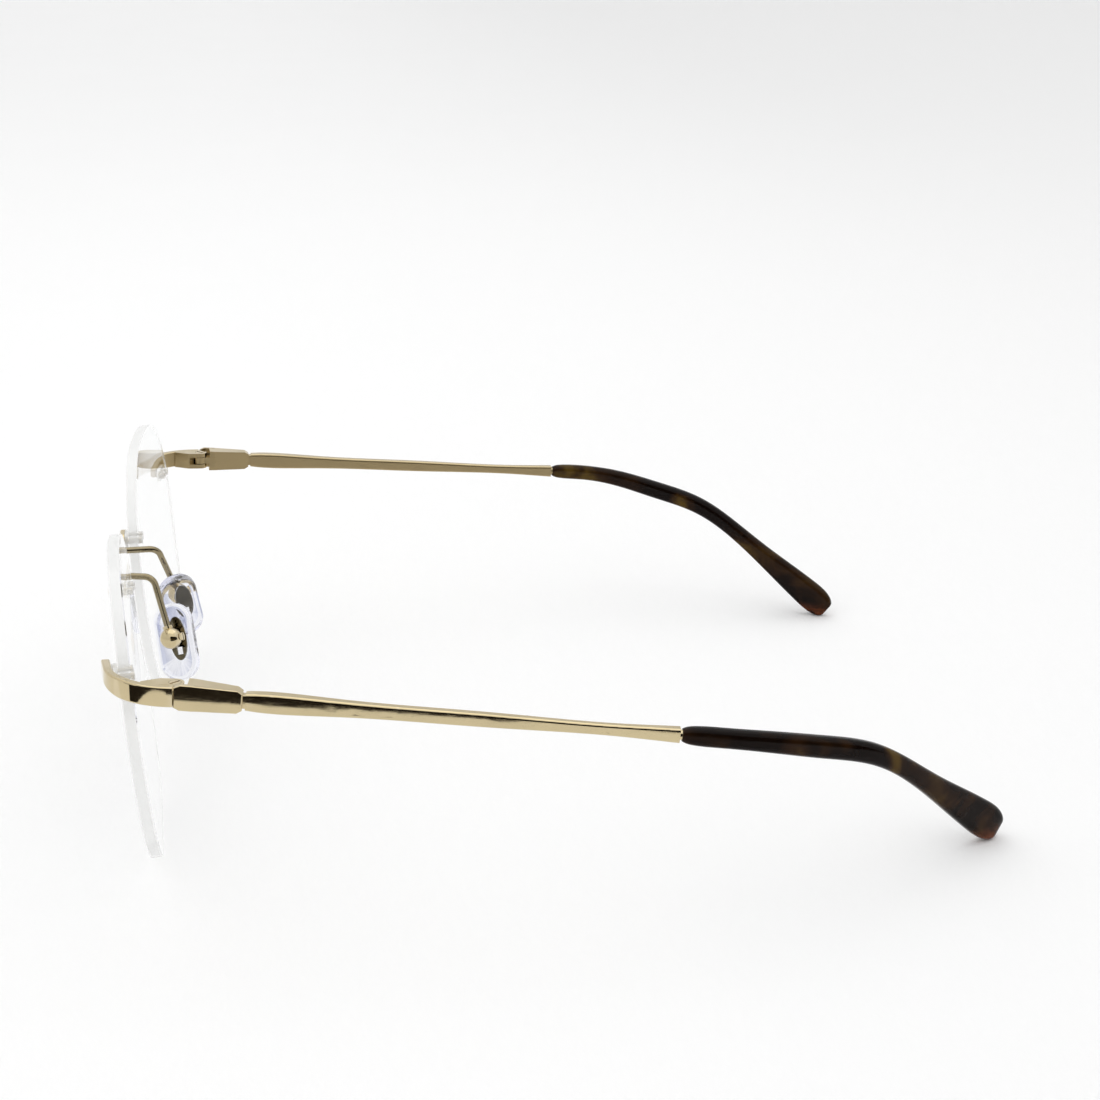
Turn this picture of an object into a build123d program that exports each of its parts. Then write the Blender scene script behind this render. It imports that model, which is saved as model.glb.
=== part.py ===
from build123d import *
import os
from math import sqrt

# Rimless eyeglasses, standing open on the lower edges of the lenses and on the temple tips.
# X runs across the face with +X at the wearer's left, +Y back along the temples, +Z up.
# The origin is at the middle of the footprint, on the surface the glasses stand on.
# Every left piece is drawn once, and its mirror image in the YZ plane is the right one.
# All sizes are in millimetres and degrees.

# Hinges
hinge_x = 64.0
hinge_y = -61.605
hinge_z = 38.35
hinge_tilt = 3.0             # the hinge axes lean back
splay = 5.2                  # the open temples stand outward
temple_drop = 3.0            # the temples fall away below the hinge plane

# Lenses: meniscus demo lenses with a large rounded outline
lens_offset = 34.3           # middle of a lens from the middle of the bridge
lens_forward = 10.7          # its front surface ahead of the hinge axes
lens_height = 25.91          # its middle above the ground
lens_wrap = 0.06             # slope of the lens towards the temple
lens_lean = -0.075           # slope of the lens, top forward
lens_radius = 250.0
lens_thick = 2.0
half_width = 25.4
half_height = 26.1
corner_out = 22.3            # corners of the outline before they are rounded
corner_up = 22.2
outline_shear = 1.5          # the top stands this much further out than the middle
lens_corner = 20.0
lens_bevel = 0.2
cut_depth = 8.0              # longer than any wall a cut has to clear

# Drilled mounts: two posts in a double sleeve at each corner
nasal_mount = (-20.2, 11.7)
temporal_mount = (21.0, 12.2)
post_pitch = 2.6
post_r = 0.45
sleeve_r = 0.75
flange_r = 1.3
flange_thick = 0.6
sleeve_out = 0.6             # sleeve standing out behind the lens
post_short = 0.15            # end of a post inside its sleeve
post_root = 0.4              # a post's length inside the metal
plate_gap = 0.04

# Bridge and nose pads
plate_thick = 0.9
plate_round = 0.3
bridge_rise = 1.0
bridge_wire = 1.5
bridge_depth = 0.84
arm_x = 7.0
arm_r = 0.58
arm_bend = 2.2
arm_root = 0.1               # start of the arm inside the bridge, coped to it
arm_elbow = (0.9, 6.15, 0.2)  # out from the arm's start, ahead of the hinges, below the bar
ball_r = 1.9
ball_reach = 2.3             # from the insert's face to the ball's middle
ball_at = (0.5, 0.7)         # the ball over the pad's middle
socket_depth = 0.15
collar_r = 0.87
collar_start = 1.52
collar_length = 0.7
lug_thick = 1.0
lug_slot = 1.3
lug_r = 1.05
lug_slot_r = 1.25
lug_width = 1.3
pad_screw_r = 0.45
pad_bore_r = 0.5
pad_head_r = 0.72
pad_head_start = 1.86
pad_head_height = 0.44
pad_middle = (10.7, 3.05, 26.0)  # from the middle, ahead of the hinges, above the ground
pad_splay = 20.0
pad_flare = 18.0
pad_lean = 14.0
pad_width = 7.0
pad_height = 13.8
pad_corner = 3.4
pad_thick = 2.5
pad_round = 0.8
insert_at = (0.8, 0.5)
insert_half_width = 1.6
insert_half_height = 3.9
insert_thick = 0.5
window_drop = 2.2            # window in the insert below the ball
window_width = 1.1
window_height = 1.3

# Hinge leaves
leaf_height = 3.2
bar_thick = 1.35
bar_gap = 0.27
bar_round = 0.3
bar_bend = 11.0
bar_front = -2.9             # ends of the straight bar, from the middle of the mount
bar_side = 3.8
bar_taper = (                # across from the hinge axis, and half the height there
    (-13.0, 0.65),
    (-5.0, 1.3),
    (-1.0, leaf_height / 2),
    (4.0, leaf_height / 2),
)
wall_out = 2.4               # outer face from the hinge axis
wall_in = 1.65
seam = 0.15                  # end of the end piece ahead of the axis
seam_gap = 0.12
ear_r = 1.4
ear_back = -2.35             # where the ears meet the bar
ear_front = -5.15
ear_wall = 1.2
slot_depth = 2.15
tongue_r = 1.3
tongue_reach = 3.2
slot_height = 1.5
tongue_height = 1.3
screw_r = 0.55
tongue_bore_r = 0.6
head_r = 0.9
head_seat_r = 0.95
head_height = 0.35
screw_slot = 0.28
slot_turn = 45.0

# Temples
box_lip = 0.9
box_front = 1.95
box_overlap = 1.0
box_back = 9.45
box_round = 0.2
box_inner = -0.9
box_front_height = 4.1
box_back_height = 3.65
groove_start = 10.25
groove_width = 0.45
rod_middle = 1.3
rod_thick = 1.9
rod_height = 2.65
rod_round = 0.4
rod_sections = (             # behind the hinge, height and thickness of the waisted rod
    (25.0, 2.48, 1.85),
    (42.0, 2.18, 1.7),
    (54.0, 1.95, 1.6),
    (64.5, 1.76, 1.5),
    (71.0, 2.0, 1.6),
    (76.65, 2.35, 1.75),
)
groove_depth = 0.25
metal_end = 76.65
neck_length = 0.35
neck_r = 0.8
core_r = 0.6
core_share = 0.85            # part of the tip's length that holds the core wire
tip_knee = 88.95
tip_ear = (66.2, 109.95, 22.6)   # across, behind the hinges, above the ground
tip_end = (53.6, 135.3, 1.09)
tip_bend = 35.0
tip_corner = 0.42            # corner radius of the tip as a share of its width
tip_sections = (             # distance along the tip, height and width there
    (0, 1.9, 1.8),
    (0.7, 2.5, 2.2),
    (2.2, 2.95, 2.5),
    (7, 3.1, 2.7),
    (14, 3.3, 2.8),
    (24, 3.6, 2.9),
    (34, 3.5, 2.9),
    (44, 3.4, 2.8),
    (52, 4.1, 2.8),
    (59, 5.3, 2.7),
    (63.6, 6.0, 2.7),
    (66.2, 6.2, 2.7),
    (68.2, 5.8, 2.6),
    (69.4, 5.0, 2.3),
    (70.1, 4.1, 1.8),
    (70.5, 2.9, 1.1),
)

lens_plane = Plane(
    origin=(lens_offset, hinge_y - lens_forward, lens_height),
    x_dir=(1, lens_wrap, 0),
    z_dir=(lens_wrap, -1, lens_lean),
)
hinge_plane = Plane(origin=(hinge_x, hinge_y, hinge_z)).rotated((-hinge_tilt, 0, -splay))
temple_plane = hinge_plane.rotated((-temple_drop, 0, 0))
lens_centre = lens_plane.from_local_coords(Vector(0, 0, -lens_radius))


def mount_plane(u, v):
    """Plane on the front surface of the left lens at one mount, facing forward."""
    sag = lens_radius - sqrt(lens_radius**2 - u**2 - v**2)
    origin = lens_plane.from_local_coords(Vector(u, v, -sag))
    return Plane(origin=origin, x_dir=lens_plane.x_dir, z_dir=origin - lens_centre)


nasal_plane = mount_plane(*nasal_mount)
temporal_plane = mount_plane(*temporal_mount)

os.makedirs("parts", exist_ok=True)


def write(piece, name):
    """Label a finished piece and write it as its own node."""
    piece.part.label = name
    export_step(piece.part, f"parts/{name}.step")


def write_pair(piece, name):
    """Write a left piece and its mirror image."""
    write(piece, f"{name}_left")
    with BuildPart() as other:
        mirror(piece.part, about=Plane.YZ)
    write(other, f"{name}_right")


# Lenses
with BuildPart() as lens:
    with BuildSketch(lens_plane) as outline:
        top_out = (corner_out + outline_shear, corner_up)
        top_in = (-corner_out + outline_shear, corner_up)
        bottom_out = (corner_out - outline_shear, -corner_up)
        bottom_in = (-corner_out - outline_shear, -corner_up)
        with BuildLine():
            ThreePointArc(top_in, (outline_shear, half_height), top_out)
            ThreePointArc(top_out, (half_width, 0), bottom_out)
            ThreePointArc(bottom_out, (-outline_shear, -half_height), bottom_in)
            ThreePointArc(bottom_in, (-half_width, 0), top_in)
        make_face()
        fillet(outline.vertices(), lens_corner)
    extrude(amount=cut_depth, both=True)
    with Locations(lens_centre):
        Sphere(lens_radius, mode=Mode.INTERSECT)
        Sphere(lens_radius - lens_thick, mode=Mode.SUBTRACT)
    chamfer(lens.edges(), lens_bevel)
    for plane in (nasal_plane, temporal_plane):
        with BuildSketch(plane):
            with GridLocations(post_pitch, 0, 2, 1):
                Circle(sleeve_r)
        extrude(amount=cut_depth, both=True, mode=Mode.SUBTRACT)
write_pair(lens, "lens")


# Double sleeves that take up the play between the posts and the lens
def bushing(plane):
    """A flanged pair of clear sleeves for one mount."""
    with BuildPart() as piece:
        with BuildSketch(plane):
            SlotCenterToCenter(post_pitch, flange_r * 2)
        extrude(amount=flange_thick)
        with BuildSketch(plane):
            with GridLocations(post_pitch, 0, 2, 1):
                Circle(sleeve_r)
        extrude(amount=-lens_thick - sleeve_out)
        with BuildSketch(plane):
            with GridLocations(post_pitch, 0, 2, 1):
                Circle(post_r)
        extrude(amount=cut_depth, both=True, mode=Mode.SUBTRACT)
    return piece


write_pair(bushing(nasal_plane), "bridge_bushing")
write_pair(bushing(temporal_plane), "end_piece_bushing")


def posts(plane):
    """The two posts of one mount, reaching from the metal through the sleeves."""
    reach = lens_thick + sleeve_out - post_short
    with BuildPart() as pins:
        with BuildSketch(plane.offset(-reach)):
            with GridLocations(post_pitch, 0, 2, 1):
                Circle(post_r)
        extrude(amount=reach + flange_thick + plate_gap + post_root)
    return pins.part


nasal_posts = posts(nasal_plane)
temporal_posts = posts(temporal_plane)


# Bridge: a plate with two posts at each lens and one bar over the nose
plate_level = flange_thick + plate_gap
bar_middle = plate_level + plate_thick / 2
bar_end = nasal_plane.from_local_coords(Vector(-post_pitch / 2, 0, bar_middle))
with BuildPart() as half_bridge:
    with BuildSketch(nasal_plane.offset(plate_level)):
        SlotCenterToCenter(post_pitch, flange_r * 2)
    extrude(amount=plate_thick)
    fillet(half_bridge.faces().sort_by(Axis.Y)[0].edges(), plate_round)
    add(nasal_posts)
with BuildPart() as bridge:
    with BuildLine() as bridge_line:
        ThreePointArc(
            bar_end, (0, bar_end.Y, bar_end.Z + bridge_rise), (-bar_end.X, bar_end.Y, bar_end.Z)
        )
    with BuildSketch(Plane(bridge_line.line @ 0, x_dir=(0, 1, 0), z_dir=bridge_line.line % 0)):
        Ellipse(bridge_depth / 2, bridge_wire / 2)
    sweep()
    add(half_bridge.part)
    mirror(half_bridge.part, about=Plane.YZ)
write(bridge, "bridge")

# Nose pads. The pad's plane is on its outer face, looking out at the ball.
pad_out = Vector(1, 0, 0).rotate(Axis.Y, -pad_flare).rotate(Axis.Z, -pad_splay)
pad_back = Vector(0, 1, 0).rotate(Axis.Z, -pad_splay).rotate(Axis((0, 0, 0), pad_out), pad_lean)
pad_origin = Vector(pad_middle[0], hinge_y - pad_middle[1], pad_middle[2])
pad_plane = Plane(origin=pad_origin, x_dir=pad_back, z_dir=pad_out)
ball_plane = Plane(
    origin=pad_plane.from_local_coords(Vector(*ball_at, ball_reach)),
    x_dir=pad_plane.x_dir,
    z_dir=pad_plane.z_dir,
)
screw_plane = Plane(origin=ball_plane.origin, x_dir=ball_plane.z_dir, z_dir=ball_plane.x_dir)

with BuildPart() as pad_arm:
    start = Vector(arm_x, bar_end.Y + bridge_depth / 2 - arm_root, bar_end.Z)
    elbow = Vector(arm_x + arm_elbow[0], hinge_y - arm_elbow[1], bar_end.Z - arm_elbow[2])
    middle = ball_plane.origin
    stop = middle + (elbow - middle).normalized() * (ball_r - socket_depth)
    with BuildLine() as arm_line:
        FilletPolyline(start, elbow, stop, radius=arm_bend)
    with BuildSketch(Plane(origin=arm_line.line @ 0, z_dir=arm_line.line % 0)):
        Circle(arm_r)
    sweep()
    add(bridge.part, mode=Mode.SUBTRACT)
write_pair(pad_arm, "pad_arm")

with BuildPart() as pad_ball:
    with Locations(middle):
        Sphere(ball_r)
    collar_plane = Plane(origin=middle, z_dir=elbow - middle)
    with BuildSketch(collar_plane.offset(collar_start)):
        Circle(collar_r)
    extrude(amount=collar_length)
    with BuildSketch(collar_plane.offset(ball_r - socket_depth)):
        Circle(arm_r)
    extrude(amount=cut_depth, mode=Mode.SUBTRACT)
    with BuildSketch(screw_plane):
        Circle(lug_slot_r)
        with Locations((-ball_r, 0)):
            Rectangle(ball_r * 2, ball_r * 2)
    extrude(amount=lug_slot / 2, both=True, mode=Mode.SUBTRACT)
    with BuildSketch(screw_plane):
        Circle(pad_screw_r)
    extrude(amount=cut_depth, both=True, mode=Mode.SUBTRACT)
write_pair(pad_ball, "pad_ball")

with BuildPart() as pad_screw:
    with BuildSketch(screw_plane.offset(-ball_r)):
        Circle(pad_screw_r)
    extrude(amount=ball_r + pad_head_start)
    with BuildSketch(screw_plane.offset(pad_head_start)):
        Circle(pad_head_r)
    extrude(amount=pad_head_height)
    with BuildSketch(screw_plane.offset(pad_head_start + pad_head_height / 2)):
        Rectangle(screw_slot, cut_depth)
    extrude(amount=pad_head_height, mode=Mode.SUBTRACT)
write_pair(pad_screw, "pad_screw")

with BuildPart() as pad_insert:
    with BuildSketch(pad_plane):
        with Locations(insert_at):
            Ellipse(insert_half_width, insert_half_height)
        with Locations((insert_at[0], insert_at[1] - window_drop)):
            Rectangle(window_width, window_height, mode=Mode.SUBTRACT)
    extrude(amount=-insert_thick)
    with BuildSketch(screw_plane):
        Circle(lug_r)
        with Locations((-ball_reach / 2 - insert_thick / 2, 0)):
            Rectangle(ball_reach - insert_thick, lug_width)
    extrude(amount=lug_thick / 2, both=True)
    with BuildSketch(screw_plane):
        Circle(pad_bore_r)
    extrude(amount=cut_depth, both=True, mode=Mode.SUBTRACT)
write_pair(pad_insert, "pad_insert")

with BuildPart() as nose_pad:
    with BuildSketch(pad_plane):
        RectangleRounded(pad_width, pad_height, pad_corner)
    extrude(amount=-pad_thick)
    fillet(nose_pad.edges(), pad_round)
    with BuildSketch(pad_plane):
        with Locations(insert_at):
            Ellipse(insert_half_width, insert_half_height)
    extrude(amount=-insert_thick, mode=Mode.SUBTRACT)
write_pair(nose_pad, "nose_pad")


# End pieces: a bar across the lens, a bend round its edge and the outer leaves of the hinge
def in_hinge(u, w):
    """Plan position in the hinge plane of a point given at the temporal mount."""
    point = hinge_plane.to_local_coords(temporal_plane.from_local_coords(Vector(u, 0, w)))
    return Vector(point.X, point.Y)


bar_level = flange_thick + bar_gap + bar_thick
bar_tip = in_hinge(bar_front, bar_level)
along = in_hinge(bar_side, bar_level) - bar_tip
bar_corner = bar_tip + along * ((wall_out - bar_tip.X) / along.X)
with BuildPart() as end_piece:
    with BuildSketch(hinge_plane):
        with BuildLine():
            FilletPolyline(bar_tip, bar_corner, (wall_out, -seam), radius=bar_bend)
            offset(amount=bar_thick, side=Side.LEFT)
        make_face()
    extrude(amount=leaf_height / 2, both=True)
    with BuildSketch(Plane(hinge_plane.origin, x_dir=hinge_plane.x_dir, z_dir=-hinge_plane.y_dir)):
        with BuildLine():
            under = [(across, -high) for across, high in reversed(bar_taper)]
            Polyline(bar_taper, under, close=True)
        make_face()
    extrude(amount=cut_depth * 2, both=True, mode=Mode.INTERSECT)
    fillet(end_piece.edges().filter_by(lambda edge: edge.center().Y < hinge_y - 1), bar_round)
    with BuildSketch(hinge_plane):
        with BuildLine():
            Polyline(
                (-ear_r, 0), (-ear_r, ear_back), (0, ear_front), (ear_wall, ear_front), (ear_wall, 0),
                close=True,
            )
        make_face()
        Circle(ear_r)
    extrude(amount=leaf_height / 2, both=True)
    with BuildSketch(hinge_plane):
        Rectangle(wall_in * 2, slot_depth * 2)
    extrude(amount=slot_height / 2, both=True, mode=Mode.SUBTRACT)
    with BuildSketch(hinge_plane):
        Circle(screw_r)
    extrude(amount=leaf_height, both=True, mode=Mode.SUBTRACT)
    with BuildSketch(hinge_plane.offset(leaf_height / 2 - head_height)):
        Circle(head_seat_r)
    extrude(amount=head_height, mode=Mode.SUBTRACT)
    add(temporal_posts)
write_pair(end_piece, "end_piece")

with BuildPart() as hinge_screw:
    with BuildSketch(hinge_plane.offset(-leaf_height / 2)):
        Circle(screw_r)
    extrude(amount=leaf_height - head_height)
    with BuildSketch(hinge_plane.offset(leaf_height / 2 - head_height)):
        Circle(head_r)
    extrude(amount=head_height)
    with BuildSketch(hinge_plane.offset(leaf_height / 2 - head_height / 2)):
        Rectangle(screw_slot, cut_depth, rotation=slot_turn)
    extrude(amount=head_height, mode=Mode.SUBTRACT)
write_pair(hinge_screw, "hinge_screw")

# Temples
side_plane = Plane(
    origin=temple_plane.origin, x_dir=temple_plane.y_dir, z_dir=temple_plane.x_dir
)


def rod_section(distance):
    """Plane across the temple's rod at a distance behind the hinge."""
    origin = temple_plane.from_local_coords(Vector(rod_middle, distance, 0))
    return Plane(origin=origin, x_dir=temple_plane.x_dir, z_dir=temple_plane.y_dir)


with BuildLine() as tip_line:
    FilletPolyline(
        temple_plane.from_local_coords(Vector(rod_middle, metal_end + neck_length, 0)),
        temple_plane.from_local_coords(Vector(rod_middle, tip_knee, 0)),
        Vector(tip_ear[0], hinge_y + tip_ear[1], tip_ear[2]),
        Vector(tip_end[0], hinge_y + tip_end[1], tip_end[2]),
        radius=tip_bend,
    )
tip_path = tip_line.wire()
core_path = tip_path.trim(0, core_share)


def tip_plane(distance):
    """Plane across the tip at a distance along its middle line, with its X axis level."""
    share = distance / tip_path.length
    along = tip_path % share
    return Plane(origin=tip_path @ share, x_dir=Vector(0, 0, -1).cross(along), z_dir=along)


with BuildPart() as temple:
    with BuildSketch(hinge_plane):
        Circle(tongue_r)
        with Locations((0, tongue_reach / 2)):
            Rectangle(tongue_r * 1.5, tongue_reach)
    extrude(amount=tongue_height / 2, both=True)
    with BuildSketch(side_plane.offset(wall_in)):
        with BuildLine():
            front = seam_gap - seam
            high = box_front_height / 2
            Polyline(
                (front, leaf_height / 2), (box_lip, high), (box_front + box_overlap, high),
                (box_front + box_overlap, -high), (box_lip, -high), (front, -leaf_height / 2),
                close=True,
            )
        make_face()
    extrude(amount=wall_out - wall_in)
    with BuildSketch(side_plane.offset(box_inner)):
        with BuildLine():
            low = box_back_height / 2
            neck = rod_height / 2
            Polyline(
                (box_front, high), (box_back, low), (groove_start, neck),
                (groove_start, -neck), (box_back, -low), (box_front, -high), close=True,
            )
        make_face()
    extrude(amount=wall_out - box_inner)
    outer_face = temple.faces().sort_by(Axis(side_plane.origin, side_plane.z_dir))[-1]
    fillet(outer_face.edges(), box_round)
    with BuildSketch(temple_plane):
        with BuildLine():
            inner_edge = rod_middle - rod_thick / 2
            Polyline(
                (box_inner, box_front + box_overlap), (inner_edge, groove_start),
                (box_inner, groove_start), close=True,
            )
        make_face()
    extrude(amount=box_front_height, both=True, mode=Mode.SUBTRACT)
    with BuildSketch(rod_section(groove_start)):
        RectangleRounded(
            rod_thick - groove_depth * 2, rod_height - groove_depth * 2, rod_round - groove_depth
        )
    extrude(amount=groove_width)
    rod_front = groove_start + groove_width
    for distance, height, width in ((rod_front, rod_height, rod_thick), *rod_sections):
        with BuildSketch(rod_section(distance)):
            RectangleRounded(width, height, rod_round)
    loft()
    with BuildSketch(rod_section(metal_end)):
        Circle(neck_r)
    extrude(amount=neck_length)
    with BuildSketch(hinge_plane):
        Circle(tongue_bore_r)
    extrude(amount=tongue_height, both=True, mode=Mode.SUBTRACT)
write_pair(temple, "temple")

with BuildPart() as temple_core:
    with BuildSketch(tip_plane(0)):
        Circle(core_r)
    sweep(path=core_path)
write_pair(temple_core, "temple_core")

with BuildPart() as temple_tip:
    for distance, height, width in tip_sections:
        with BuildSketch(tip_plane(distance)):
            RectangleRounded(width, height, width * tip_corner)
    loft()
    with BuildSketch(tip_plane(0)):
        Circle(core_r)
    sweep(path=core_path, mode=Mode.SUBTRACT)
write_pair(temple_tip, "temple_tip")
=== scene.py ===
"""Rimless eyeglasses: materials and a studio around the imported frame."""

import math

import bpy
from mathutils import Matrix, Vector

bl_info = {
    "name": "Rimless Eyeglasses",
    "version": (1, 0, 0),
    "blender": (4, 5, 0),
    "location": "3D View > Sidebar > Eyeglasses",
    "description": "Finishes the metal, lenses, nose pads and temple tips, and sets the studio",
    "category": "Object",
}

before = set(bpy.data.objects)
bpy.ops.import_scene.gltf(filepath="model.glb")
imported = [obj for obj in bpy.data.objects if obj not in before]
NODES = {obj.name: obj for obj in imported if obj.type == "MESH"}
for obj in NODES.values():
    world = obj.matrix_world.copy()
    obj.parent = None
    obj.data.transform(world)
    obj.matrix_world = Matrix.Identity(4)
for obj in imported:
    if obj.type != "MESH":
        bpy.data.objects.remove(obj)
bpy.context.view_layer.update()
SIDES = ("left", "right")

# Refractive indices
LENS_INDEX = 1.5
SLEEVE_INDEX = 1.49
SILICONE_INDEX = 1.41
ACETATE_INDEX = 1.49

# The floor, in metres
FLOOR_RADIUS = 5.0
FLOOR_RINGS = 40
FLOOR_STEPS = 96
FLOOR_FLAT_SHARE = 0.6
FLOOR_RISE = 0.9

# The dark flags that polished metal mirrors, in metres
FLAG_WALL = 0.6
FLAG_NEAR = -1.0
FLAG_FAR = 1.6
FLAG_TOP = 0.5
FLAG_LIFT = 0.0004
CORNER_MIDDLE = (0.09, -0.09)
CORNER_RADIUS = 0.07
CORNER_STEPS = 12
FLAG_BEND = (0.13, 0.15)

# The softbox and the camera's back
SOFTBOX_PLACE = (-0.15, 0.05, 0.9)
SOFTBOX_SIZE = (0.9, 0.9)
SENSOR_WIDTH = 36.0
CLIP_RANGE = (0.01, 20.0)


# Node helpers
def add_node(tree, kind, inputs=None, **settings):
    """A node with its settings and inputs. An input is a value or another node's output."""
    node = tree.nodes.new(kind)
    for name, value in settings.items():
        setattr(node, name, value)
    for name, value in (inputs or {}).items():
        socket = node.inputs[name]
        if isinstance(value, bpy.types.NodeSocket):
            tree.links.new(value, socket)
        else:
            socket.default_value = value
    return node


def maths(tree, operation, first, second=0.0):
    """The output of one Math node."""
    node = add_node(tree, "ShaderNodeMath", {0: first, 1: second}, operation=operation)
    return node.outputs[0]


def between(tree, value, low, high, to_low=0.0, to_high=1.0):
    """The value carried smoothly from one range to another."""
    node = add_node(
        tree,
        "ShaderNodeMapRange",
        {"Value": value, "From Min": low, "From Max": high, "To Min": to_low, "To Max": to_high},
        interpolation_type="SMOOTHSTEP",
    )
    return node.outputs["Result"]


def noise(tree, place, scale, detail=3.0, roughness=0.5, stretch=(1, 1, 1), distortion=0.0):
    """Noise of a scale per metre, stretched along the row's axes."""
    mapping = add_node(tree, "ShaderNodeMapping", {"Vector": place, "Scale": stretch})
    node = add_node(
        tree,
        "ShaderNodeTexNoise",
        {
            "Vector": mapping.outputs[0],
            "Scale": scale,
            "Detail": detail,
            "Roughness": roughness,
            "Distortion": distortion,
        },
    )
    return node.outputs["Fac"]


def blend_colours(tree, share, first, second):
    """A colour between two, by a share from 0 to 1."""
    node = add_node(tree, "ShaderNodeMix", {"Factor": share}, data_type="RGBA")
    for name, value in (("A", first), ("B", second)):
        socket = [s for s in node.inputs if s.name == name and s.type == "RGBA"][0]
        if isinstance(value, bpy.types.NodeSocket):
            tree.links.new(value, socket)
        else:
            socket.default_value = (*value, 1.0) if len(value) == 3 else value
    return [s for s in node.outputs if s.type == "RGBA"][0]


def scaled(colour, share):
    """A darker or lighter version of a colour."""
    return tuple(min(1.0, c * share) for c in colour)


def new_material(name):
    """An empty material with its output node, its tree and its object coordinates."""
    material = bpy.data.materials.new(name)
    material.use_nodes = True
    tree = material.node_tree
    tree.nodes.clear()
    output = add_node(tree, "ShaderNodeOutputMaterial")
    place = add_node(tree, "ShaderNodeTexCoord")
    return material, tree, output, place


def finish_nodes(name, material):
    """Gives the CAD node of that name its finished material."""
    mesh = NODES[name].data
    for index in range(len(mesh.materials)):
        mesh.materials[index] = material


# Materials
def gold_plate(settings, name, satin_and_shade_inside=False, share=1.0):
    """Polished light gold plating; the faces that look at the wearer's head are satin, and painted
    shade darkens their colour.
    """
    material, tree, output, place = new_material(name)
    spot = place.outputs["Object"]
    drift = noise(tree, spot, 90.0, detail=2.0)
    scratches = noise(tree, spot, 900.0, detail=4.0, roughness=0.7, stretch=(4.0, 0.25, 4.0))
    colour = blend_colours(
        tree,
        between(tree, drift, 0.35, 0.65),
        scaled(settings.gold, share * 0.96),
        scaled(settings.gold, share * 1.02),
    )
    edge = add_node(tree, "ShaderNodeNewGeometry").outputs["Pointiness"]
    worn = between(tree, edge, 0.52, 0.6)
    rubbed = scaled(settings.worn_edge, share)
    colour = blend_colours(tree, maths(tree, "MULTIPLY", worn, 0.3), colour, rubbed)
    gloss = between(tree, scratches, 0.45, 0.8, settings.polish, settings.polish + 0.04)
    if satin_and_shade_inside:
        position = add_node(tree, "ShaderNodeSeparateXYZ", {"Vector": spot})
        normal = add_node(tree, "ShaderNodeSeparateXYZ", {"Vector": place.outputs["Normal"]})
        side = maths(tree, "SIGN", position.outputs["X"])
        outward = maths(tree, "MULTIPLY", side, normal.outputs["X"])
        # Faces that look at the wearer's head: their satin roughness is the metal's own, their
        # darker colour is painted shade.
        satin_and_shade_side = between(tree, outward, -0.4, -0.8)
        colour = blend_colours(tree, satin_and_shade_side, colour, settings.painted_shade_inner_gold)
        satin = between(tree, scratches, 0.25, 0.8, settings.satin, settings.satin + 0.1)
        gloss = add_node(
            tree, "ShaderNodeMix", {"Factor": satin_and_shade_side, "A": gloss, "B": satin}, data_type="FLOAT"
        ).outputs[0]
    bump = add_node(
        tree, "ShaderNodeBump", {"Height": scratches, "Strength": 0.02, "Distance": 0.00001}
    )
    shader = add_node(
        tree,
        "ShaderNodeBsdfPrincipled",
        {"Base Color": colour, "Metallic": 1.0, "Roughness": gloss, "Normal": bump.outputs[0]},
    )
    tree.links.new(shader.outputs[0], output.inputs["Surface"])
    return material


def clear_plastic(
    name, tint, ior, gloss, ripple, shade, passes, clear=1.0, rim=None, ground=None, body=None
):
    """Clear plastic with faint flow marks, and painted shade on its sharp edges when a rim colour
    is given.

    Lamp light goes straight through it, and so does light that has met more than some passes.
    """
    material, tree, output, place = new_material(name)
    spot = place.outputs["Object"]
    flow = noise(tree, spot, 160.0, detail=2.0, distortion=0.6)
    dust = noise(tree, spot, 2600.0, detail=1.0)
    haze = between(tree, dust, 0.62, 0.8, gloss, gloss + 0.05)
    bump = add_node(
        tree, "ShaderNodeBump", {"Height": flow, "Strength": ripple, "Distance": 0.00005}
    )
    colour = blend_colours(tree, flow, scaled(tint, 0.985), tint)
    # Painted edge shade: the sharp edges take the darker rim colour.
    if rim:
        edge = add_node(tree, "ShaderNodeNewGeometry").outputs["Pointiness"]
        colour = blend_colours(tree, between(tree, edge, 0.51, 0.56), colour, rim)
    if ground:
        normal = add_node(tree, "ShaderNodeSeparateXYZ", {"Vector": place.outputs["Normal"]})
        frost = between(tree, maths(tree, "ABSOLUTE", normal.outputs["Y"]), 0.8, 0.5)
        colour = blend_colours(tree, frost, colour, ground)
        clear = maths(tree, "SUBTRACT", clear, maths(tree, "MULTIPLY", frost, 0.5))
        haze = maths(tree, "ADD", haze, maths(tree, "MULTIPLY", frost, 0.15))
    shader = add_node(
        tree,
        "ShaderNodeBsdfPrincipled",
        {
            "Base Color": colour,
            "Roughness": haze,
            "IOR": ior,
            "Transmission Weight": clear,
            "Normal": bump.outputs[0],
        },
    )
    path = add_node(tree, "ShaderNodeLightPath").outputs
    spent = maths(tree, "GREATER_THAN", path["Ray Depth"], passes - 0.5)
    straight = maths(tree, "MAXIMUM", path["Is Shadow Ray"], spent)
    gap = add_node(tree, "ShaderNodeBsdfTransparent", {"Color": (*shade, 1.0)})
    mix = add_node(
        tree, "ShaderNodeMixShader", {0: straight, 1: shader.outputs[0], 2: gap.outputs[0]}
    )
    tree.links.new(mix.outputs[0], output.inputs["Surface"])
    if body:
        density, body_tint = body
        volume = add_node(
            tree, "ShaderNodeVolumeAbsorption", {"Color": (*body_tint, 1.0), "Density": density}
        )
        tree.links.new(volume.outputs[0], output.inputs["Volume"])
    return material


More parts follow.
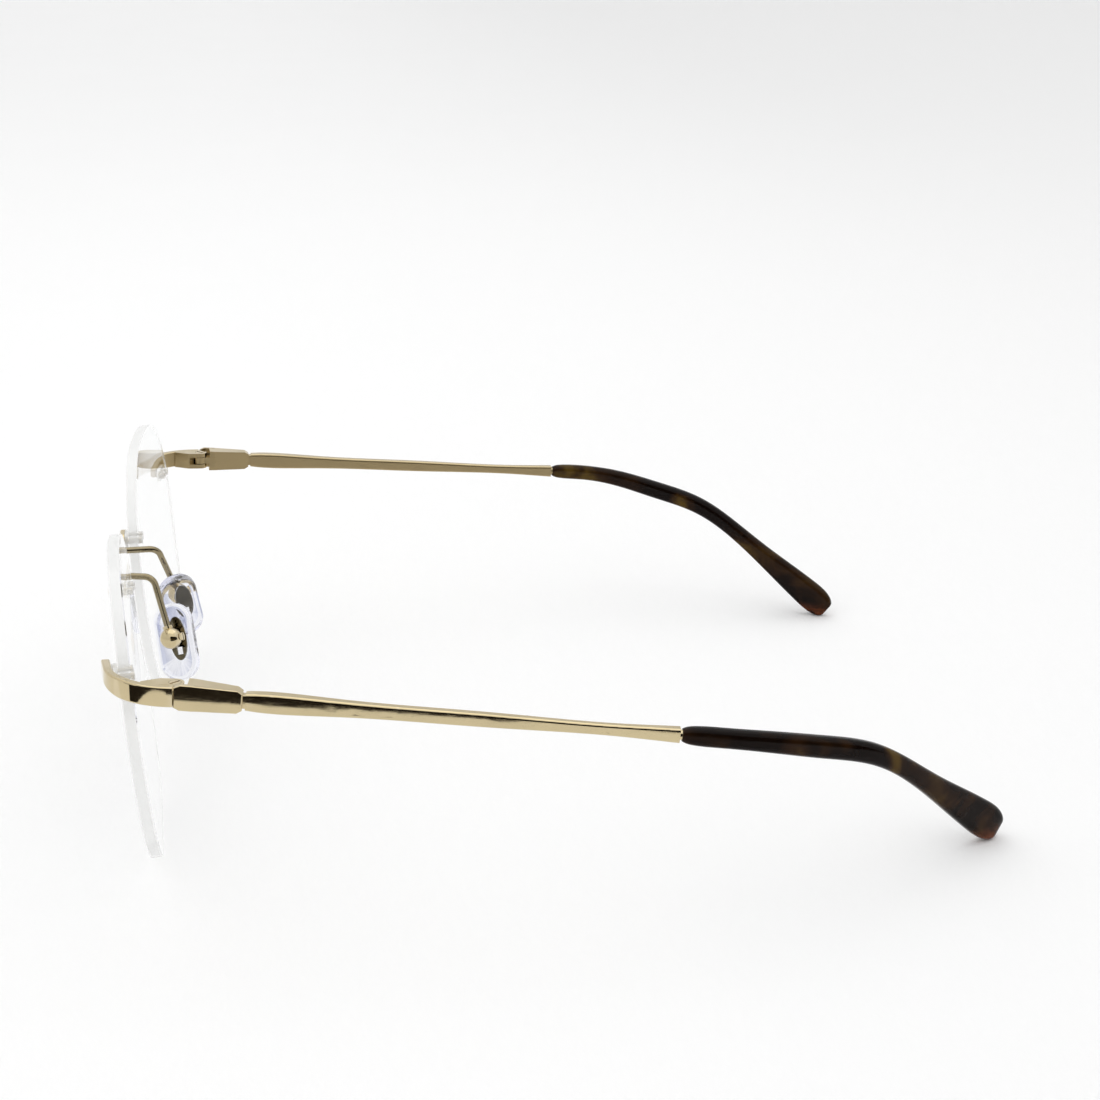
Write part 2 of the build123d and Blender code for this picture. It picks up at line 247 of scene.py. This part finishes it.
def tortoise_acetate(settings):
    """Polished dark acetate with clouds of brown and amber, and a painted warm glow low on the
    paddle's end.
    """
    material, tree, output, place = new_material("tortoise_acetate")
    spot = place.outputs["Object"]
    clouds = noise(
        tree, spot, 85.0, detail=3.0, roughness=0.45, stretch=(1.4, 0.8, 1.2), distortion=1.1
    )
    flecks = noise(
        tree, spot, 260.0, detail=4.0, roughness=0.6, stretch=(1.3, 0.6, 1.0), distortion=0.8
    )
    brown = between(tree, clouds, 0.44, 0.62)
    height = add_node(tree, "ShaderNodeSeparateXYZ", {"Vector": spot}).outputs["Z"]
    above_paddle = between(tree, height, 0.008, 0.024, 0.25)
    amber = maths(tree, "MULTIPLY", between(tree, clouds, 0.56, 0.7), above_paddle)
    base = blend_colours(tree, brown, settings.dark_brown, settings.mid_brown)
    base = blend_colours(tree, maths(tree, "MULTIPLY", amber, 0.9), base, settings.amber)
    speckle = maths(tree, "MULTIPLY", between(tree, flecks, 0.58, 0.72), 0.3)
    base = blend_colours(tree, speckle, base, settings.mid_brown)
    # Painted glow: the lowest part of the paddle, near the floor, turns warm red as if lit through.
    painted_glow_low_end = between(tree, height, 0.0036, 0.0005)
    glow = maths(tree, "MULTIPLY", painted_glow_low_end, between(tree, flecks, 0.35, 0.6))
    base = blend_colours(tree, glow, base, settings.painted_end_glow)
    gloss = between(tree, noise(tree, spot, 700.0, detail=3.0), 0.3, 0.7, 0.06, 0.14)
    bump = add_node(
        tree,
        "ShaderNodeBump",
        {"Height": noise(tree, spot, 240.0), "Strength": 0.1, "Distance": 0.00008},
    )
    shader = add_node(
        tree,
        "ShaderNodeBsdfPrincipled",
        {
            "Base Color": base,
            "Roughness": gloss,
            "IOR": ACETATE_INDEX,
            "Specular IOR Level": 0.08,
            "Coat Weight": 0.02,
            "Coat Roughness": 0.05,
            "Normal": bump.outputs[0],
        },
    )
    tree.links.new(shader.outputs[0], output.inputs["Surface"])
    return material


def floor_paper(settings):
    """Pale studio paper with a very fine weave, and painted shade that darkens it towards the back.
    """
    material, tree, output, place = new_material("studio_paper")
    spot = place.outputs["Object"]
    weave = noise(tree, spot, 1100.0, detail=3.0, stretch=(0.45, 1.0, 1.0))
    clouding = noise(tree, spot, 12.0, detail=2.0)
    colour = blend_colours(tree, clouding, scaled(settings.paper, 0.99), settings.paper)
    # Painted shade: the paper darkens towards the back, standing in for light falling off far from
    # the softbox.
    back = add_node(tree, "ShaderNodeSeparateXYZ", {"Vector": spot}).outputs["Y"]
    painted_falloff = between(tree, back, -0.12, 0.4)
    colour = blend_colours(tree, painted_falloff, colour, scaled(settings.paper, 0.92))
    bump = add_node(
        tree, "ShaderNodeBump", {"Height": weave, "Strength": 0.25, "Distance": 0.0003}
    )
    shader = add_node(
        tree,
        "ShaderNodeBsdfPrincipled",
        {
            "Base Color": colour,
            "Roughness": 0.85,
            "Specular IOR Level": 0.2,
            "Normal": bump.outputs[0],
        },
    )
    tree.links.new(shader.outputs[0], output.inputs["Surface"])
    return material


def flag_cloth():
    """Dark cloth of the flags that polished metal mirrors, unseen through clear plastic."""
    material, tree, output, place = new_material("flag_cloth")
    threads = noise(tree, place.outputs["Object"], 400.0)
    colour = blend_colours(tree, threads, (0.006, 0.004, 0.003), (0.014, 0.009, 0.006))
    shader = add_node(
        tree,
        "ShaderNodeBsdfPrincipled",
        {"Base Color": colour, "Roughness": 0.9, "Specular IOR Level": 0.1},
    )
    depth = add_node(tree, "ShaderNodeLightPath").outputs["Ray Depth"]
    later = maths(tree, "GREATER_THAN", depth, 1.5)
    gap = add_node(tree, "ShaderNodeBsdfTransparent")
    mix = add_node(tree, "ShaderNodeMixShader", {0: later, 1: shader.outputs[0], 2: gap.outputs[0]})
    tree.links.new(mix.outputs[0], output.inputs["Surface"])
    return material


# Property groups
def colour_setting(name, description, default):
    """A colour for a property group."""
    return bpy.props.FloatVectorProperty(
        name=name, description=description, subtype="COLOR", default=default, min=0, max=1
    )


def share_setting(name, description, default):
    """A share from 0 to 1 for a property group."""
    return bpy.props.FloatProperty(
        name=name, description=description, default=default, min=0, max=1, subtype="FACTOR"
    )


class MetalSettings(bpy.types.PropertyGroup):
    """Colours and polish of the plated metal."""

    gold: colour_setting("Gold", "Colour of the plating", (0.6, 0.5, 0.305))
    # The inner faces' darker gold is painted shade.
    painted_shade_inner_gold: colour_setting("Inner gold", "Colour of the inner faces", (0.35, 0.27, 0.145))
    worn_edge: colour_setting("Worn edge", "Colour of rubbed edges", (0.8, 0.7, 0.52))
    polish: share_setting("Polish", "Roughness of the polished faces", 0.025)
    satin: share_setting("Satin", "Roughness of the inner faces", 0.3)


class ClearSettings(bpy.types.PropertyGroup):
    """Tints of the lenses, sleeves and pads."""

    lens: colour_setting("Lens", "Tint of the lenses", (0.985, 0.992, 0.99))
    sleeve: colour_setting("Sleeve", "Tint of the sleeves", (0.95, 0.95, 0.94))
    silicone: colour_setting("Silicone", "Tint of the nose pads", (0.95, 0.955, 0.985))


class AcetateSettings(bpy.types.PropertyGroup):
    """Colours of the temple tips."""

    dark_brown: colour_setting("Dark brown", "Darkest clouds", (0.005, 0.0026, 0.0018))
    mid_brown: colour_setting("Brown", "Middle clouds", (0.022, 0.0095, 0.0035))
    amber: colour_setting("Amber", "Lightest patches", (0.085, 0.05, 0.009))
    # Painted glow of light through the paddle's end.
    painted_end_glow: colour_setting("End glow", "Warm end of the paddle", (0.12, 0.034, 0.012))


class StageSettings(bpy.types.PropertyGroup):
    """Floor, light and camera."""

    paper: colour_setting("Paper", "Colour of the floor", (0.93, 0.93, 0.93))
    camera_place: bpy.props.FloatVectorProperty(
        name="Camera", description="Place of the camera", subtype="TRANSLATION", unit="LENGTH",
        default=(0.3449, -0.043455, 0.1538),
    )
    camera_turn: bpy.props.FloatProperty(
        name="Turn",
        description="Camera's turn from the side",
        subtype="ANGLE",
        default=math.radians(-7.86),
    )
    camera_tilt: bpy.props.FloatProperty(
        name="Tilt",
        description="Camera's tilt below level",
        subtype="ANGLE",
        default=math.radians(18.62),
    )
    focal: bpy.props.FloatProperty(
        name="Focal length",
        description="Focal length in millimetres",
        default=64.88,
        min=10,
        max=300,
    )
    sky: bpy.props.FloatProperty(
        name="Surround", description="Strength of the white surround", default=1.05, min=0
    )
    overhead: bpy.props.FloatProperty(
        name="Overhead", description="Power of the overhead softbox in watts", default=1.3, min=0
    )


# Operators
class EYEGLASSES_OT_metal(bpy.types.Operator):
    """Plate the bridge, end pieces, temples, screws and pad arms in light gold, with painted shade
    on the temples' inner faces and a darker gold on the pad arms that paints their dark reflection
    """

    bl_idname = "eyeglasses.metal"
    bl_label = "Metal Parts"

    def execute(self, context):
        settings = context.scene.eyeglasses_metal
        temple_gold = gold_plate(settings, "temple_gold", satin_and_shade_inside=True)
        small_gold = gold_plate(settings, "small_part_gold")
        # Pad arms: the gold at under half its brightness, a painted dark reflection.
        wire_gold_painted_reflection = gold_plate(settings, "wire_gold_painted_reflection", share=0.46)
        for side in SIDES:
            for part in ("temple", "temple_core", "end_piece"):
                finish_nodes(f"{part}_{side}", temple_gold)
            finish_nodes(f"pad_arm_{side}", wire_gold_painted_reflection)
            for part in ("hinge_screw", "pad_ball", "pad_screw"):
                finish_nodes(f"{part}_{side}", small_gold)
        finish_nodes("bridge", small_gold)
        return {"FINISHED"}


class EYEGLASSES_OT_lenses(bpy.types.Operator):
    """Finish the clear lenses"""

    bl_idname = "eyeglasses.lenses"
    bl_label = "Lenses"

    def execute(self, context):
        settings = context.scene.eyeglasses_clear
        lens = clear_plastic(
            "clear_lens",
            settings.lens,
            ior=LENS_INDEX,
            gloss=0.0,
            ripple=0.01,
            shade=(0.97, 0.97, 0.97),
            passes=2,
            ground=(0.86, 0.862, 0.852),
        )
        for side in SIDES:
            finish_nodes(f"lens_{side}", lens)
        return {"FINISHED"}


class EYEGLASSES_OT_sleeves(bpy.types.Operator):
    """Finish the clear sleeves in the lens mounts"""

    bl_idname = "eyeglasses.sleeves"
    bl_label = "Mount Sleeves"

    def execute(self, context):
        settings = context.scene.eyeglasses_clear
        sleeve = clear_plastic(
            "clear_sleeve",
            settings.sleeve,
            ior=SLEEVE_INDEX,
            gloss=0.2,
            ripple=0.1,
            shade=(0.85, 0.85, 0.85),
            passes=4,
            clear=0.45,
        )
        for side in SIDES:
            for part in ("bridge_bushing", "end_piece_bushing"):
                finish_nodes(f"{part}_{side}", sleeve)
        return {"FINISHED"}


class EYEGLASSES_OT_nose_pads(bpy.types.Operator):
    """Finish the silicone nose pads and their inserts"""

    bl_idname = "eyeglasses.nose_pads"
    bl_label = "Nose Pads"

    def execute(self, context):
        settings = context.scene.eyeglasses_clear
        silicone = clear_plastic(
            "clear_silicone",
            settings.silicone,
            ior=SILICONE_INDEX,
            gloss=0.04,
            ripple=0.1,
            shade=(0.85, 0.85, 0.88),
            passes=5,
            # Darker bluish rim colour: painted shade on the pads' edges.
            rim=(0.4, 0.43, 0.58),
            body=(40.0, (0.78, 0.8, 0.97)),
        )
        # Pad inserts: the gold at a fifth of its brightness, painted shade inside the pads.
        insert = gold_plate(context.scene.eyeglasses_metal, "insert_metal", share=0.18)
        for side in SIDES:
            finish_nodes(f"nose_pad_{side}", silicone)
            finish_nodes(f"pad_insert_{side}", insert)
        return {"FINISHED"}


class EYEGLASSES_OT_temple_tips(bpy.types.Operator):
    """Finish the tortoiseshell temple tips"""

    bl_idname = "eyeglasses.temple_tips"
    bl_label = "Temple Tips"

    def execute(self, context):
        acetate = tortoise_acetate(context.scene.eyeglasses_acetate)
        for side in SIDES:
            finish_nodes(f"temple_tip_{side}", acetate)
        return {"FINISHED"}


def ring_floor(name, radius, rings, steps):
    """A round sheet of paper that turns up into a low rim far from the glasses."""
    mesh = bpy.data.meshes.new(name)
    corners = [(0.0, 0.0, 0.0)]
    faces = []
    flat = radius * FLOOR_FLAT_SHARE
    for ring in range(1, rings + 1):
        reach = radius * ring / rings
        rise = max(0.0, reach - flat) ** 2 * FLOOR_RISE
        for step in range(steps):
            turn = 2 * math.pi * step / steps
            corners.append((reach * math.cos(turn), reach * math.sin(turn), rise))
    for step in range(steps):
        after = (step + 1) % steps
        faces.append((0, 1 + step, 1 + after))
        for ring in range(1, rings):
            inner = 1 + (ring - 1) * steps
            outer = 1 + ring * steps
            faces.append((inner + step, outer + step, outer + after, inner + after))
    mesh.from_pydata(corners, [], faces)
    for face in mesh.polygons:
        face.use_smooth = True
    return bpy.data.objects.new(name, mesh)


def paper_edge():
    """The floor flag's edge beside the glasses: a round corner, then a straight run."""
    edge = []
    for step in range(CORNER_STEPS + 1):
        turn = math.radians(90 * step / CORNER_STEPS - 90)
        edge.append(
            (
                CORNER_MIDDLE[0] + CORNER_RADIUS * math.cos(turn),
                CORNER_MIDDLE[1] + CORNER_RADIUS * math.sin(turn),
            )
        )
    return edge + [FLAG_BEND]


def flag(name, corners, material):
    """A dark sheet that only mirrors see."""
    mesh = bpy.data.meshes.new(name)
    mesh.from_pydata(corners, [], [tuple(range(len(corners)))])
    mesh.materials.append(material)
    sheet = bpy.data.objects.new(name, mesh)
    bpy.context.scene.collection.objects.link(sheet)
    sheet.visible_camera = False
    sheet.visible_diffuse = False
    sheet.visible_transmission = False
    sheet.visible_volume_scatter = False
    sheet.visible_shadow = False


def softbox(name, place, target, size, power):
    """A square area lamp that looks at a point."""
    lamp = bpy.data.lights.new(name, "AREA")
    lamp.shape = "RECTANGLE"
    lamp.size, lamp.size_y = size
    lamp.energy = power
    holder = bpy.data.objects.new(name, lamp)
    holder.location = place
    holder.rotation_euler = (Vector(target) - Vector(place)).to_track_quat("-Z", "Y").to_euler()
    bpy.context.scene.collection.objects.link(holder)


class EYEGLASSES_OT_stage(bpy.types.Operator):
    """Lay the paper floor, hang the lamps and place the camera"""

    bl_idname = "eyeglasses.stage"
    bl_label = "Stage"

    def execute(self, context):
        settings = context.scene.eyeglasses_stage
        scene = context.scene
        paper = ring_floor("studio_floor", FLOOR_RADIUS, FLOOR_RINGS, FLOOR_STEPS)
        paper.data.materials.append(floor_paper(settings))
        scene.collection.objects.link(paper)

        cloth = flag_cloth()
        edge = paper_edge()
        rim = [
            (FLAG_WALL, FLAG_NEAR, FLAG_LIFT),
            (FLAG_WALL, FLAG_FAR, FLAG_LIFT),
            (FLAG_BEND[0], FLAG_FAR, FLAG_LIFT),
        ]
        rim += [(x, y, FLAG_LIFT) for x, y in reversed(edge)]
        rim += [(edge[0][0], FLAG_NEAR, FLAG_LIFT)]
        flag("floor_flag", rim, cloth)
        wall = [
            (FLAG_WALL, FLAG_NEAR, 0),
            (FLAG_WALL, FLAG_FAR, 0),
            (FLAG_WALL, FLAG_FAR, FLAG_TOP),
            (FLAG_WALL, FLAG_NEAR, FLAG_TOP),
        ]
        flag("wall_flag", wall, cloth)

        softbox("overhead_softbox", SOFTBOX_PLACE, (0, 0, 0), SOFTBOX_SIZE, settings.overhead)

        world = bpy.data.worlds.new("white_surround")
        world.use_nodes = True
        scene.world = world
        shade = world.node_tree.nodes["Background"]
        shade.inputs["Color"].default_value = (1.0, 1.0, 1.0, 1.0)
        shade.inputs["Strength"].default_value = settings.sky
        scene.view_settings.view_transform = "Standard"

        turn, tilt = settings.camera_turn, settings.camera_tilt
        look = Vector(
            (-math.cos(tilt) * math.cos(turn), -math.cos(tilt) * math.sin(turn), -math.sin(tilt))
        )
        across = look.cross(Vector((0, 0, 1))).normalized()
        up = across.cross(look)
        camera = bpy.data.objects.new("camera", bpy.data.cameras.new("camera"))
        camera.data.lens = settings.focal
        camera.data.sensor_width = SENSOR_WIDTH
        camera.data.clip_start, camera.data.clip_end = CLIP_RANGE
        camera.matrix_world = Matrix.Translation(Vector(settings.camera_place)) @ Matrix(
            (across, up, -look)
        ).transposed().to_4x4()
        scene.collection.objects.link(camera)
        scene.camera = camera
        return {"FINISHED"}


STEPS = (
    EYEGLASSES_OT_metal,
    EYEGLASSES_OT_lenses,
    EYEGLASSES_OT_sleeves,
    EYEGLASSES_OT_nose_pads,
    EYEGLASSES_OT_temple_tips,
    EYEGLASSES_OT_stage,
)


class EYEGLASSES_PT_panel(bpy.types.Panel):
    """Lists the steps that finish the eyeglasses"""

    bl_label = "Rimless Eyeglasses"
    bl_idname = "EYEGLASSES_PT_panel"
    bl_space_type = "VIEW_3D"
    bl_region_type = "UI"
    bl_category = "Eyeglasses"

    def draw(self, context):
        for step in STEPS:
            self.layout.operator(step.bl_idname)
        for group in SETTINGS:
            settings = getattr(context.scene, group)
            box = self.layout.box()
            for name in settings.bl_rna.properties.keys():
                if name not in ("rna_type", "name"):
                    box.prop(settings, name)


SETTINGS = {
    "eyeglasses_metal": MetalSettings,
    "eyeglasses_clear": ClearSettings,
    "eyeglasses_acetate": AcetateSettings,
    "eyeglasses_stage": StageSettings,
}
CLASSES = (*SETTINGS.values(), *STEPS, EYEGLASSES_PT_panel)


def register():
    """Adds the classes and their settings."""
    for each in CLASSES:
        bpy.utils.register_class(each)
    for name, group in SETTINGS.items():
        setattr(bpy.types.Scene, name, bpy.props.PointerProperty(type=group))


def unregister():
    """Takes the settings and the classes away again."""
    for name in SETTINGS:
        delattr(bpy.types.Scene, name)
    for each in reversed(CLASSES):
        bpy.utils.unregister_class(each)


def main():
    """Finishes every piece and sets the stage."""
    register()
    for step in STEPS:
        group, name = step.bl_idname.split(".")
        getattr(getattr(bpy.ops, group), name)()


if __name__ == "__main__":
    main()
